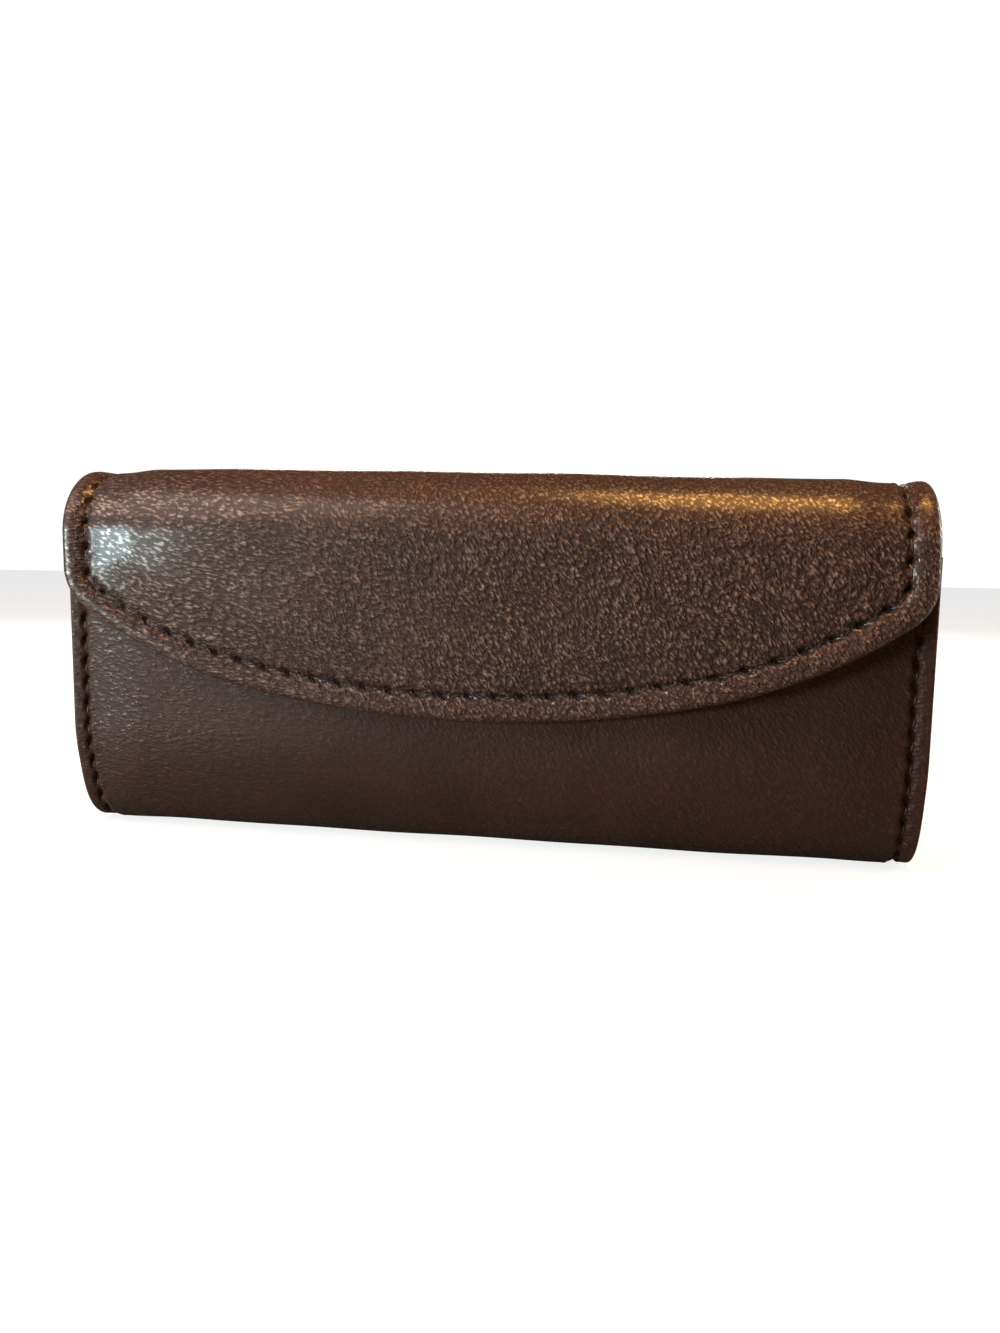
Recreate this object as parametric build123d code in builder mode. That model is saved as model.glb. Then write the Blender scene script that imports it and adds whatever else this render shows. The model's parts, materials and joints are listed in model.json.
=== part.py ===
"""Flap glasses case: a lined leather pouch with end gussets, closed by a wide stitched flap.

Millimetres, +Z up, +X along the case, front towards -Y. The origin is the middle of the base.
"""

import os
from math import cos, degrees, radians, sin, tan

from build123d import *

os.makedirs("parts", exist_ok=True)

# Overall sizes.
case_length = 165.0
case_depth = 42.0
case_height = 75.0

# Cross-section: the front sweeps back into the base, and the top rolls over on two equal corners.
top_corner_radius = 13.5
back_corner_radius = 10.0
front_sweep_radius = 34.8
front_sweep_angle = 33.0
front_base_radius = 10.0
mouth_height = 60.0

# Layers, from the outside in.
leather_thickness = 1.1
board_thickness = 1.2
padding_thickness = 1.0
lining_thickness = 0.6
glue_gap = 0.1
flap_clearance = 0.7

# Flap: three arcs a side, with the roll of its edge held by a row of stitches.
flap_low_height = 26.8
flap_middle_angle = 13.0
flap_shoulder_radius = 92.0
flap_shoulder_angle = 36.0
flap_corner_radius = 10.0
flap_stitch_inset = 5.2
filler_width = 3.6
edge_turn = 0.8
hinge_gap = 0.3

# End gussets, and the seams that hold them.
seam_allowance = 3.5
edge_setback = 0.3
gusset_rim = 1.0
gusset_front_height = 59.5
gusset_middle_height = 65.0
gusset_back_height = 67.0
seam_inset = 2.0

# Thread.
thread_radius = 0.15
thread_lift = 0.02
stitch_length = 3.4
flap_stitch_pitch = 5.2
seam_stitch_pitch = 4.4
seam_run_out = 30.0

# Strip of leather turned over the mouth of the front wall.
facing_thickness = 0.8
facing_drop = 9.0
facing_stitch_drop = 3.0

# Hidden closure: a magnet in the flap and a steel plate in the front wall.
closure_height = 42.0
magnet_radius = 6.0
magnet_thickness = 0.9
plate_radius = 7.0
plate_thickness = 1.0
pocket_clearance = 0.3

# Places worked out from the sizes above.
half_length = case_length / 2
half_depth = case_depth / 2
board_depth = leather_thickness + glue_gap
wall_lining_depth = board_depth + board_thickness + glue_gap
wall_thickness = wall_lining_depth + lining_thickness
flap_lining_depth = board_depth + padding_thickness + glue_gap
flap_thickness = flap_lining_depth + lining_thickness
pouch_front = -half_depth + flap_thickness + flap_clearance

corner_height = case_height - top_corner_radius
corner_y = half_depth - top_corner_radius
back_corner = (half_depth - back_corner_radius, back_corner_radius)
sweep_drop = front_sweep_radius - front_base_radius
sweep_centre = (
    pouch_front + front_sweep_radius,
    front_base_radius + sweep_drop * sin(radians(front_sweep_angle)),
)
front_base_centre = (
    sweep_centre[0] - sweep_drop * cos(radians(front_sweep_angle)),
    front_base_radius,
)

gusset_floor = half_length - edge_setback - seam_allowance
gusset_inside = gusset_floor - leather_thickness
gusset_lining_inside = gusset_inside - glue_gap - lining_thickness
board_half_length = gusset_inside - glue_gap
lining_half_length = gusset_lining_inside - glue_gap
thread_height = thread_radius + thread_lift
split_angle = 45.0
split_gap_angle = degrees(hinge_gap / 2 / top_corner_radius)
reach = case_length


def pouch_outline(depth):
    """Cross-section of the pouch, moved in from its skin by depth: local X is Y, local Y is Z."""
    front = pouch_front + depth
    back = half_depth - depth
    top = case_height - depth
    with BuildSketch() as outline:
        with BuildLine():
            Line((front, top), (front, sweep_centre[1]))
            CenterArc(sweep_centre, front_sweep_radius - depth, 180, front_sweep_angle)
            CenterArc(
                front_base_centre,
                front_base_radius - depth,
                180 + front_sweep_angle,
                90 - front_sweep_angle,
            )
            Line((front_base_centre[0], depth), (back_corner[0], depth))
            CenterArc(back_corner, back_corner_radius - depth, 270, 90)
            Line((back, back_corner[1]), (back, corner_height))
            CenterArc((corner_y, corner_height), top_corner_radius - depth, 0, 90)
            Line((corner_y, top), (front, top))
        make_face()
    return outline.sketch


def flap_outline(depth):
    """Cross-section of the space that the closed flap wraps, moved in from its skin by depth."""
    side = half_depth - depth
    top = case_height - depth
    with BuildSketch() as outline:
        with BuildLine():
            Line((-side, 0), (-side, corner_height))
            CenterArc((-corner_y, corner_height), top_corner_radius - depth, 180, -90)
            Line((-corner_y, top), (corner_y, top))
            CenterArc((corner_y, corner_height), top_corner_radius - depth, 90, -90)
            Line((side, corner_height), (side, 0))
            Line((side, 0), (-side, 0))
        make_face()
    return outline.sketch


def zone(*corners):
    """Straight-sided region that cuts one wall out of a cross-section."""
    with BuildSketch() as region:
        with BuildLine():
            Polyline(*corners, close=True)
        make_face()
    return region.sketch


def band(outline, depth, thickness, region):
    """One layer of a wall: the ring between two depths, inside its region."""
    with BuildSketch() as ring:
        add(outline(depth))
        add(outline(depth + thickness), mode=Mode.SUBTRACT)
        add(region, mode=Mode.INTERSECT)
    return ring.sketch


front_zone = zone(
    (-reach, -reach),
    (front_base_centre[0], -reach),
    (front_base_centre[0], mouth_height),
    (-reach, mouth_height),
)
base_zone = zone(
    (front_base_centre[0], -reach),
    (reach, -reach),
    (reach, back_corner[1]),
    (front_base_centre[0], back_corner[1]),
)
low_split_rise = reach * tan(radians(split_angle - split_gap_angle))
high_split_run = reach / tan(radians(split_angle + split_gap_angle))
back_zone = zone(
    (corner_y, back_corner[1]),
    (corner_y + reach, back_corner[1]),
    (corner_y + reach, corner_height + low_split_rise),
    (corner_y, corner_height),
)
flap_top_zone = zone(
    (corner_y, corner_height),
    (corner_y + high_split_run, corner_height + reach),
    (-corner_y - high_split_run, corner_height + reach),
    (-corner_y, corner_height),
)
flap_front_zone = zone(
    (-corner_y, corner_height),
    (-corner_y - reach, corner_height + low_split_rise),
    (-corner_y - reach, 0),
    (-corner_y, 0),
)


def wall(outline, depth, thickness, region, half_width):
    """One layer of a wall, as long as the case or as the space between its gussets."""
    with BuildPart() as layer:
        with BuildSketch(Plane.YZ):
            add(band(outline, depth, thickness, region))
        extrude(amount=half_width, both=True)
    return layer.part


# Pouch leather: front, base and back are one hide, bent round the boards.
pouch_walls = {"front": front_zone, "base": base_zone, "back": back_zone}
for wall_name, wall_zone in pouch_walls.items():
    with BuildPart() as wall_leather:
        add(wall(pouch_outline, 0, leather_thickness, wall_zone, half_length))
    wall_leather.part.label = wall_name + "_leather"
    export_step(wall_leather.part, f"parts/{wall_name}_leather.step")

# Stiffening boards glued behind the leather. The front one has a pocket for the closure's plate.
for wall_name, wall_zone in pouch_walls.items():
    with BuildPart() as wall_board:
        add(wall(pouch_outline, board_depth, board_thickness, wall_zone, board_half_length))
        if wall_name == "front":
            with Locations(Location((0, pouch_front + board_depth, closure_height), (90, 0, 0))):
                Cylinder(plate_radius + pocket_clearance, 3 * board_thickness, mode=Mode.SUBTRACT)
    wall_board.part.label = wall_name + "_board"
    export_step(wall_board.part, f"parts/{wall_name}_board.step")

# Cloth lining over the boards.
for wall_name, wall_zone in pouch_walls.items():
    with BuildPart() as wall_lining:
        add(wall(pouch_outline, wall_lining_depth, lining_thickness, wall_zone, lining_half_length))
    wall_lining.part.label = wall_name + "_lining"
    export_step(wall_lining.part, f"parts/{wall_name}_lining.step")


def gusset_face(depth):
    """Outline of an end gusset, cut off by its top edge, which rises from the mouth towards the back."""
    front = pouch_front + depth
    back = half_depth - depth
    middle = (front + back) / 2
    with BuildSketch() as below_mouth:
        with BuildLine():
            ThreePointArc(
                (front, gusset_front_height),
                (middle, gusset_middle_height),
                (back, gusset_back_height),
            )
            Line((back, gusset_back_height), (back, 0))
            Line((back, 0), (front, 0))
            Line((front, 0), (front, gusset_front_height))
        make_face()
    with BuildSketch() as face:
        add(pouch_outline(depth))
        add(below_mouth.sketch, mode=Mode.INTERSECT)
    return face.sketch


# End gussets: a floor set in from the end, with its rim turned outwards and sewn to the walls.
for side, side_name in ((-1, "left"), (1, "right")):
    with BuildPart() as gusset:
        with BuildSketch(Plane.YZ.offset(side * gusset_inside)):
            add(gusset_face(board_depth))
        extrude(amount=side * (leather_thickness + seam_allowance))
        with BuildSketch(Plane.YZ.offset(side * gusset_floor)):
            add(pouch_outline(board_depth + gusset_rim))
        extrude(amount=side * 2 * seam_allowance, mode=Mode.SUBTRACT)
    gusset.part.label = f"{side_name}_gusset"
    export_step(gusset.part, f"parts/{side_name}_gusset.step")

    with BuildPart() as gusset_lining:
        with BuildSketch(Plane.YZ.offset(side * gusset_lining_inside)):
            add(gusset_face(wall_lining_depth))
        extrude(amount=side * lining_thickness)
    gusset_lining.part.label = f"{side_name}_gusset_lining"
    export_step(gusset_lining.part, f"parts/{side_name}_gusset_lining.step")

# Mouth facing: a strip of leather over the rim of the front wall, turned down inside it.
with BuildPart() as mouth_facing:
    with BuildSketch(Plane.YZ):
        with BuildLine():
            inside_face = pouch_front + wall_thickness + glue_gap
            rim = mouth_height + glue_gap
            Polyline(
                (pouch_front, rim),
                (pouch_front, rim + facing_thickness),
                (inside_face + facing_thickness, rim + facing_thickness),
                (inside_face + facing_thickness, rim - facing_drop),
                (inside_face, rim - facing_drop),
                (inside_face, rim),
                close=True,
            )
        make_face()
    extrude(amount=lining_half_length, both=True)
mouth_facing.part.label = "mouth_facing"
export_step(mouth_facing.part, "parts/mouth_facing.step")

# Steel plate in the front board's pocket, which the flap's magnet pulls on.
with BuildPart() as strike_plate:
    with BuildSketch(Plane.XZ.offset(-pouch_front - board_depth)):
        with Locations((0, closure_height)):
            Circle(plate_radius)
    extrude(amount=-plate_thickness)
strike_plate.part.label = "strike_plate"
export_step(strike_plate.part, "parts/strike_plate.step")


def flap_edge(inset, plane=Plane.XY):
    """Edge of the flap's front, moved in by inset: up to the roll at each end, on any plane."""
    middle = radians(flap_middle_angle)
    shoulder = radians(flap_shoulder_angle)
    shoulder_run = flap_shoulder_radius * (sin(shoulder) - sin(middle))
    corner_run = flap_corner_radius * (1 - sin(shoulder))
    middle_radius = (half_length - shoulder_run - corner_run) / sin(middle)
    middle_centre = (0, flap_low_height + middle_radius)
    shoulder_centre = (
        (middle_radius - flap_shoulder_radius) * sin(middle),
        middle_centre[1] - (middle_radius - flap_shoulder_radius) * cos(middle),
    )
    shoulder_drop = flap_shoulder_radius - flap_corner_radius
    corner_centre = (
        shoulder_centre[0] + shoulder_drop * sin(shoulder),
        shoulder_centre[1] - shoulder_drop * cos(shoulder),
    )
    with BuildLine(plane) as edge:
        CenterArc(middle_centre, middle_radius - inset, 270, flap_middle_angle)
        CenterArc(
            shoulder_centre,
            flap_shoulder_radius - inset,
            270 + flap_middle_angle,
            flap_shoulder_angle - flap_middle_angle,
        )
        CenterArc(
            corner_centre,
            flap_corner_radius - inset,
            270 + flap_shoulder_angle,
            90 - flap_shoulder_angle,
        )
        Line((half_length - inset, corner_centre[1]), (half_length - inset, corner_height))
        mirror(about=Plane.YZ)
    return edge


def flap_front_layer(depth, thickness, inset):
    """One layer of the flap's front: half of the roll at its top, and the plate below it."""
    with BuildSketch() as shape:
        with BuildLine():
            add(flap_edge(inset).line)
            Line(
                (half_length - inset, corner_height),
                (half_length - inset, case_height),
            )
            Line((half_length - inset, case_height), (inset - half_length, case_height))
            Line(
                (inset - half_length, case_height),
                (inset - half_length, corner_height),
            )
        make_face()
    with BuildPart() as layer:
        with BuildSketch(Plane.YZ):
            add(band(flap_outline, depth, thickness, flap_front_zone))
        extrude(amount=half_length, both=True)
        with BuildSketch(Plane.XZ):
            add(shape.sketch)
        extrude(amount=case_depth, mode=Mode.INTERSECT)
    return layer.part


# Flap front: skin, padding with a pocket for the magnet, filler in the rolled edge, and lining.
with BuildPart() as flap_front_leather:
    add(flap_front_layer(0, leather_thickness, 0))
flap_front_leather.part.label = "flap_front_leather"
export_step(flap_front_leather.part, "parts/flap_front_leather.step")

with BuildPart() as flap_front_padding:
    add(flap_front_layer(board_depth, padding_thickness, flap_stitch_inset + edge_turn))
    with Locations(Location((0, -half_depth + board_depth, closure_height), (90, 0, 0))):
        Cylinder(magnet_radius + pocket_clearance, 3 * padding_thickness, mode=Mode.SUBTRACT)
flap_front_padding.part.label = "flap_front_padding"
export_step(flap_front_padding.part, "parts/flap_front_padding.step")

with BuildPart() as flap_edge_filler:
    add(flap_front_layer(board_depth, padding_thickness, edge_turn))
    add(
        flap_front_layer(board_depth, padding_thickness, edge_turn + filler_width),
        mode=Mode.SUBTRACT,
    )
flap_edge_filler.part.label = "flap_edge_filler"
export_step(flap_edge_filler.part, "parts/flap_edge_filler.step")

with BuildPart() as flap_front_lining:
    add(flap_front_layer(flap_lining_depth, lining_thickness, edge_turn))
flap_front_lining.part.label = "flap_front_lining"
export_step(flap_front_lining.part, "parts/flap_front_lining.step")

with BuildPart() as flap_magnet:
    with BuildSketch(Plane.XZ.offset(half_depth - board_depth)):
        with Locations((0, closure_height)):
            Circle(magnet_radius)
    extrude(amount=-magnet_thickness)
flap_magnet.part.label = "flap_magnet"
export_step(flap_magnet.part, "parts/flap_magnet.step")

# Flap top: the stretch between the back roll, where the flap hinges, and the front roll.
flap_top_layers = {
    "leather": (0, leather_thickness, 0),
    "padding": (board_depth, padding_thickness, flap_stitch_inset + edge_turn),
    "lining": (flap_lining_depth, lining_thickness, edge_turn),
}
for layer_name, (depth, thickness, inset) in flap_top_layers.items():
    with BuildPart() as flap_top_layer:
        add(wall(flap_outline, depth, thickness, flap_top_zone, half_length - inset))
    flap_top_layer.part.label = f"flap_top_{layer_name}"
    export_step(flap_top_layer.part, f"parts/flap_top_{layer_name}.step")

with BuildPart() as flap_end_fillers:
    for side in (-1, 1):
        with BuildSketch(Plane.YZ.offset(side * (half_length - edge_turn))):
            add(band(flap_outline, board_depth, padding_thickness, flap_top_zone))
        extrude(amount=-side * filler_width)
flap_end_fillers.part.label = "flap_end_fillers"
export_step(flap_end_fillers.part, "parts/flap_end_fillers.step")


def stitch_row(paths, pitch):
    """Evenly spaced stitches, each a short length of thread laid along its path."""
    with BuildPart() as row:
        for path in paths:
            count = round(path.length / pitch)
            spacing = path.length / count
            for number in range(count):
                middle = path.location_at((number + 0.5) * spacing, PositionMode.LENGTH)
                with Locations(middle):
                    Cylinder(thread_radius, stitch_length)
    return row.part


# Topstitching round the flap: down both sides, along the curved edge, and over the top.
flap_side = half_length - flap_stitch_inset
roll_radius = top_corner_radius + thread_height
roll_span = split_angle - 2 * split_gap_angle
flap_edge_path = flap_edge(flap_stitch_inset, Plane.XZ.offset(half_depth + thread_height))
flap_rolls = []
for side in (-1, 1):
    with BuildLine(Plane.YZ.offset(side * flap_side)) as roll_path:
        CenterArc((-corner_y, corner_height), roll_radius, 180, -roll_span)
    flap_rolls.append(roll_path.wire())
with BuildPart() as flap_front_stitching:
    add(stitch_row([flap_edge_path.wire()] + flap_rolls, flap_stitch_pitch))
flap_front_stitching.part.label = "flap_front_stitching"
export_step(flap_front_stitching.part, "parts/flap_front_stitching.step")

flap_top_paths = []
for side in (-1, 1):
    with BuildLine(Plane.YZ.offset(side * flap_side)) as top_path:
        CenterArc((-corner_y, corner_height), roll_radius, 90 + roll_span, -roll_span)
        Line((-corner_y, case_height + thread_height), (corner_y, case_height + thread_height))
        CenterArc((corner_y, corner_height), roll_radius, 90, -roll_span)
    flap_top_paths.append(top_path.wire())
with BuildPart() as flap_top_stitching:
    add(stitch_row(flap_top_paths, flap_stitch_pitch))
flap_top_stitching.part.label = "flap_top_stitching"
export_step(flap_top_stitching.part, "parts/flap_top_stitching.step")

# Seams that sew the walls to the gussets' rims, front and back at each end.
for side, side_name in ((-1, "left"), (1, "right")):
    with BuildLine(Plane.YZ.offset(side * (half_length - seam_inset))) as front_path:
        front_line = pouch_front - thread_height
        Line((front_line, gusset_front_height), (front_line, sweep_centre[1]))
        CenterArc(sweep_centre, front_sweep_radius + thread_height, 180, front_sweep_angle)
        CenterArc(
            front_base_centre,
            front_base_radius + thread_height,
            180 + front_sweep_angle,
            seam_run_out,
        )
    with BuildPart() as front_seam:
        add(stitch_row([front_path.wire()], seam_stitch_pitch))
    front_seam.part.label = f"{side_name}_front_seam"
    export_step(front_seam.part, f"parts/{side_name}_front_seam.step")

    with BuildLine(Plane.YZ.offset(side * (half_length - seam_inset))) as back_path:
        back_line = half_depth + thread_height
        CenterArc(back_corner, back_corner_radius + thread_height, -seam_run_out, seam_run_out)
        Line((back_line, back_corner[1]), (back_line, corner_height))
        CenterArc((corner_y, corner_height), roll_radius, 0, roll_span)
    with BuildPart() as back_seam:
        add(stitch_row([back_path.wire()], seam_stitch_pitch))
    back_seam.part.label = f"{side_name}_back_seam"
    export_step(back_seam.part, f"parts/{side_name}_back_seam.step")

# Stitching that holds the mouth facing, along the rim of the front wall.
facing_stitch_height = mouth_height - facing_stitch_drop
with BuildLine(Plane.XZ.offset(-pouch_front + thread_height)) as facing_path:
    Line((-lining_half_length, facing_stitch_height), (lining_half_length, facing_stitch_height))
with BuildPart() as mouth_stitching:
    add(stitch_row([facing_path.wire()], seam_stitch_pitch))
mouth_stitching.part.label = "mouth_stitching"
export_step(mouth_stitching.part, "parts/mouth_stitching.step")
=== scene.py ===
import json
import math

import bmesh
import bpy
import numpy as np
from mathutils import Matrix, Vector


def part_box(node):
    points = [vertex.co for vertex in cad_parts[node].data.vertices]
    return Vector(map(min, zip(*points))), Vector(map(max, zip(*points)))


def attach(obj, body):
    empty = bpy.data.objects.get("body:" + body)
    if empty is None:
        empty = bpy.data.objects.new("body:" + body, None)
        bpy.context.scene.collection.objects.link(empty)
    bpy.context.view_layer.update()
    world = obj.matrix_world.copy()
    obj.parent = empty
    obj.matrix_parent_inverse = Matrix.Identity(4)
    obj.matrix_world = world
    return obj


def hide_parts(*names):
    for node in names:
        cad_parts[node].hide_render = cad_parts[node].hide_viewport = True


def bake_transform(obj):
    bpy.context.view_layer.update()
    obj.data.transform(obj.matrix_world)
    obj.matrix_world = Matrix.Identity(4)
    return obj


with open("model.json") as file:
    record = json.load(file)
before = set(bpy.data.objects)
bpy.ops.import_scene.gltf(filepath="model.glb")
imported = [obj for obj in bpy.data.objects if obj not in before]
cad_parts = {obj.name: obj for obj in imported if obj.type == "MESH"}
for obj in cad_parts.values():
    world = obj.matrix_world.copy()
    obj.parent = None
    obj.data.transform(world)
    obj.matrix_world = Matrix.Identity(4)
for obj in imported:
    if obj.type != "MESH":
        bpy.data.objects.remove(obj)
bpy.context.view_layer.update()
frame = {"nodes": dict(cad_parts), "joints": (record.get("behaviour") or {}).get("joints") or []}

# ---- Course of the hide ------------------------------------------------------------------------
# One brown hide starts at the mouth of the front wall, runs down and under the case, up its back,
# over the top and down the front again as the flap. Every layer of the case follows its course.
front_low, front_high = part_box("front_leather")
base_low, base_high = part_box("base_leather")
flap_low, flap_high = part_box("flap_front_leather")
joints = {joint["name"]: joint for joint in frame["joints"]}
hinge_place = np.array(joints["flap_hinge"]["pos_m"])

half_length = flap_high.x
wall_y = front_low.y
mouth_z = front_high.z
flap_y = flap_low.y
back_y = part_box("back_leather")[1].y
top_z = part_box("flap_top_leather")[1].z
roll_radius = (top_z - hinge_place[2]) / (1 - math.cos(math.radians(45)))
corner_radius = base_high.z
front_sweep_radius, front_sweep = 0.0348, math.radians(33)
front_base_radius = 0.010

sweep_drop = (front_sweep_radius - front_base_radius) * math.sin(front_sweep)
roll_z = top_z - roll_radius
hide_moves = [
    (mouth_z - front_base_radius - sweep_drop, 0),
    (front_sweep_radius * front_sweep, front_sweep),
    (front_base_radius * (math.pi / 2 - front_sweep), math.pi / 2 - front_sweep),
    (back_y - corner_radius - base_low.y, 0),
    (corner_radius * math.pi / 2, math.pi / 2),
    (roll_z - corner_radius, 0),
    (roll_radius * math.pi / 2, math.pi / 2),
    (back_y - flap_y - 2 * roll_radius, 0),
    (roll_radius * math.pi / 2, math.pi / 2),
    (roll_z - flap_low.z, 0),
]
marks = np.cumsum([0] + [length for length, turn in hide_moves])
under_split, top_split = (marks[3] + marks[4]) / 2, (marks[7] + marks[8]) / 2
back_roll, flap_end = marks[6], marks[10]


def follow(distance):
    """Point and outward normal in the YZ plane at each distance along the hide from the mouth."""
    distance = np.asarray(distance, float)
    place = np.zeros(distance.shape + (2,))
    outward = np.zeros(distance.shape + (2,))
    y, z, heading = wall_y, mouth_z, -math.pi / 2
    for begun, (length, turn) in zip(marks, hide_moves):
        on = (distance >= begun) | (begun == 0)
        along = distance[on] - begun
        if turn:
            radius = length / turn
            angle = heading + along / radius
            place[on, 0] = y + radius * (np.sin(angle) - math.sin(heading))
            place[on, 1] = z - radius * (np.cos(angle) - math.cos(heading))
            y += radius * (math.sin(heading + turn) - math.sin(heading))
            z -= radius * (math.cos(heading + turn) - math.cos(heading))
        else:
            angle = np.full(along.shape, heading)
            place[on, 0] = y + along * math.cos(heading)
            place[on, 1] = z + along * math.sin(heading)
            y += length * math.cos(heading)
            z += length * math.sin(heading)
        outward[on, 0] = np.sin(angle)
        outward[on, 1] = -np.cos(angle)
        heading += turn
    return place, outward


flare_of_top, flare_of_walls = 0.0007, 0.0013
top_sag = 0.0016


def on_hide(x, distance, depth):
    """Points of a layer: x along the case, distance along the hide, depth in from its skin. The
    walls flare a little at their ends, and use has made the top sag towards the right."""
    distance = np.asarray(distance, float)
    place, outward = follow(distance)
    place = place - outward * np.asarray(depth)[..., None]
    x = np.broadcast_to(x, distance.shape)
    wall_share = 1 - smooth(back_roll - 0.012, top_split, distance)
    flare = (flare_of_top + flare_of_walls * wall_share) * smooth(0.045, half_length, np.abs(x))
    sag = top_sag * smooth(-0.045, 0.070, x) * smooth(0.050, 0.073, place[..., 1])
    return np.stack([x + flare * np.sign(x), place[..., 0], place[..., 1] - sag], -1)


def smooth(low, high, value):
    """0 below low, 1 above high, and an even S between them."""
    t = np.clip((value - low) / (high - low), 0, 1)
    return t * t * (3 - 2 * t)


def spread(*stops):
    """Positions along a grid line: each stop is (where, spacing up to it), starting from 0."""
    places = [0.0]
    for where, spacing in stops:
        count = max(1, round((where - places[-1]) / spacing))
        places += list(np.linspace(places[-1], where, count + 1)[1:])
    return np.array(places)


def mirrored(stops, width):
    """The same stops from both ends of a width, centred on 0."""
    places = spread(*stops, (width / 2, 0.0026))
    return np.concatenate([places, width - places[-2::-1]]) - width / 2


def put_out(name, data):
    """A new object in the scene that holds a mesh, a light or a camera."""
    made = bpy.data.objects.new(name, data)
    bpy.context.scene.collection.objects.link(made)
    return made


weld_gap = 1e-6


def closed_sheet(name, outer, inner, tags=None, open_rows=(False, False), welded=False):
    """A closed mesh between two grids of points, with an edge strip round its four sides.
    A row marked open meets another piece of the same hide, so its rim stays sharp there.
    A welded sheet folds back on itself, and its last column is joined to itself."""
    rows, columns = outer.shape[:2]
    count = rows * columns
    index = np.arange(count).reshape(rows, columns)
    quads = np.stack([index[:-1, :-1], index[1:, :-1], index[1:, 1:], index[:-1, 1:]], -1)
    quads = quads.reshape(-1, 4)
    sides = [index[0, :], index[:, -1], index[-1, ::-1], index[::-1, 0]]
    if welded:
        sides.pop(1)
    strips = [np.stack([side[:-1], side[1:], side[1:] + count, side[:-1] + count], -1)
              for side in sides]
    faces = np.concatenate([quads, quads[:, ::-1] + count, *strips])
    mesh = bpy.data.meshes.new(name)
    points = np.concatenate([outer.reshape(-1, 3), inner.reshape(-1, 3)])
    mesh.from_pydata(points.tolist(), [], faces.tolist())
    for tag, values in (tags or {}).items():
        tagged = mesh.attributes.new(tag, "FLOAT", "POINT")
        tagged.data.foreach_set("value", np.tile(values.ravel(), 2).astype(np.float32))
    shape = bmesh.new()
    shape.from_mesh(mesh)
    if welded:
        bmesh.ops.remove_doubles(shape, verts=shape.verts, dist=weld_gap)
    bmesh.ops.recalc_face_normals(shape, faces=shape.faces)
    shape.to_mesh(mesh)
    shape.free()
    mesh.polygons.foreach_set("use_smooth", np.ones(len(mesh.polygons), bool))
    cut = set()
    for row, is_open in zip((0, rows - 1), open_rows):
        if is_open:
            cut |= {int(v) for v in index[row]} | {int(v) + count for v in index[row]}
    if cut:
        sharp = [a in cut and b in cut for a, b in (edge.vertices for edge in mesh.edges)]
        mesh.attributes.new("sharp_edge", "BOOLEAN", "EDGE").data.foreach_set("value", sharp)
    return put_out(name, mesh)


# The ends are drawn in where the walls are sewn to the gussets, so the middle looks fuller, and
# the skin sways a little where hands have pressed it.
end_pinch = 0.0011
pinch_reach = (0.0030, 0.0150)
pinch_lost_under = 0.85
sway_height, ripple_height = 0.00016, 0.00006


def fullness(x, distance):
    """How far the skin stands out of its plain course."""
    inset = half_length - np.abs(x)
    under = smooth(marks[1] + 0.008, marks[2], distance) * (1 - smooth(marks[4], marks[5], distance))
    pinch = end_pinch * (1 - smooth(*pinch_reach, inset)) * (1 - pinch_lost_under * under)
    sway = sway_height * np.sin(x * 61 + distance * 37) * np.cos(x * 23 - distance * 71)
    ripple = ripple_height * np.sin(x * 190 + 2.3 * np.sin(distance * 90))
    return (sway + ripple) * smooth(0.003, 0.02, inset) - pinch


plain_stops = ((0.004, 0.001), (0.016, 0.002))


def layer(name, width, start, end, depths, spacing=0.0016, open_rows=(False, False)):
    """A sheet that lies along the hide, from one distance to another, between two depths."""
    columns = mirrored(plain_stops, width)
    x, distance = np.meshgrid(columns, np.linspace(start, end, round((end - start) / spacing) + 1))
    outer, inner = (on_hide(x, distance, depth - fullness(x, distance)) for depth in depths)
    return closed_sheet(name, outer, inner, open_rows=open_rows)


def bend_at_hinge(piece):
    """Bake a piece's place into its mesh. It is not joined to the pouch or the flap's top, and nothing
    bends it at the back roll.
    """
    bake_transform(piece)


def bend_at_fold(piece):
    """Bake a piece's place into its mesh. It is not joined to the flap's top or front, and nothing bends
    it at the front roll.
    """
    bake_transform(piece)


def add_node(tree, kind, inputs=None, **settings):
    """A shader or geometry node with its settings, and its inputs set or linked by name or place."""
    made = tree.nodes.new(kind)
    for name, value in settings.items():
        setattr(made, name, value)
    for name, value in (inputs or {}).items():
        if isinstance(value, bpy.types.NodeSocket):
            tree.links.new(value, made.inputs[name])
        else:
            made.inputs[name].default_value = value
    return made


def reckon(tree, operation, *values):
    """The result of a maths node."""
    return add_node(tree, "ShaderNodeMath", dict(enumerate(values)), operation=operation).outputs[0]


def between(tree, share, low, high):
    """A value between low and high, by share."""
    ramp = add_node(tree, "ShaderNodeMapRange", {"Value": share, "To Min": low, "To Max": high})
    return ramp.outputs[0]


def blended(tree, share, first, second):
    """A colour between first and second, by share."""
    mix = add_node(tree, "ShaderNodeMix", {"Factor": share}, data_type="RGBA")
    for socket, colour in ((mix.inputs[6], first), (mix.inputs[7], second)):
        if isinstance(colour, bpy.types.NodeSocket):
            tree.links.new(colour, socket)
        else:
            socket.default_value = (*colour, 1)
    return mix.outputs[2]


def finish_of(name):
    """A new material and the tree and main shader that it starts with."""
    material = bpy.data.materials.new(name)
    material.use_nodes = True
    return material, material.node_tree, material.node_tree.nodes["Principled BSDF"]


def own_place(tree):
    """Place on the piece itself, in metres."""
    return add_node(tree, "ShaderNodeTexCoord").outputs["Object"]


def raise_nap(tree, shader, height, distance):
    """Small relief from a pattern."""
    bump = add_node(tree, "ShaderNodeBump", {"Height": height, "Distance": distance})
    tree.links.new(bump.outputs[0], shader.inputs["Normal"])


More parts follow.
